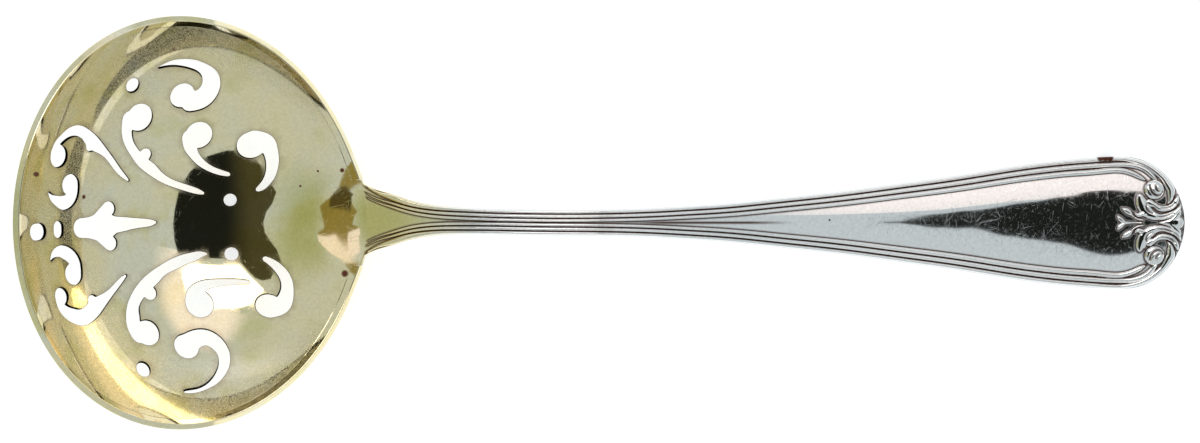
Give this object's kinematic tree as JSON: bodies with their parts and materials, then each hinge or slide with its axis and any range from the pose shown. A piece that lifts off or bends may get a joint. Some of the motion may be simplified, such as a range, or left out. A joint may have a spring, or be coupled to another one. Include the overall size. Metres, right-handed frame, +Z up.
{
  "type": "sugar sifter spoon",
  "caption": "Small pierced ladle with a tilted gilt bowl, scroll piercings and a silver handle with a thread and scroll border.",
  "frame": {"origin": "middle of the small worn flat under the bowl, which stands on the table", "axes": "+X runs from the bowl to the handle's tip, +Z is up, out of the bowl's mouth, and +Y is to the left of the handle"},
  "size_m": [0.1485, 0.0522, 0.0219],
  "materials": {
    "gilt": "worn pale gilding over polished silver, with fine scratches and pits",
    "silver": "polished silver with soft wear and dark tarnish at the feet of the ornament"
  },
  "bodies": {
    "root": {"bowl": "gilt", "rim_wire": "gilt", "handle": "silver", "outer_reed_left": "silver", "outer_reed_right": "silver", "middle_reed_left": "silver", "middle_reed_right": "silver", "inner_reed_left": "silver", "inner_reed_right": "silver", "volute_left": "silver", "volute_right": "silver", "scroll_left": "silver", "scroll_right": "silver", "leaf_left": "silver", "leaf_right": "silver", "bud_left": "silver", "bud_right": "silver", "bud_centre": "silver", "tip_crest": "silver"}
  },
  "joints": []
}
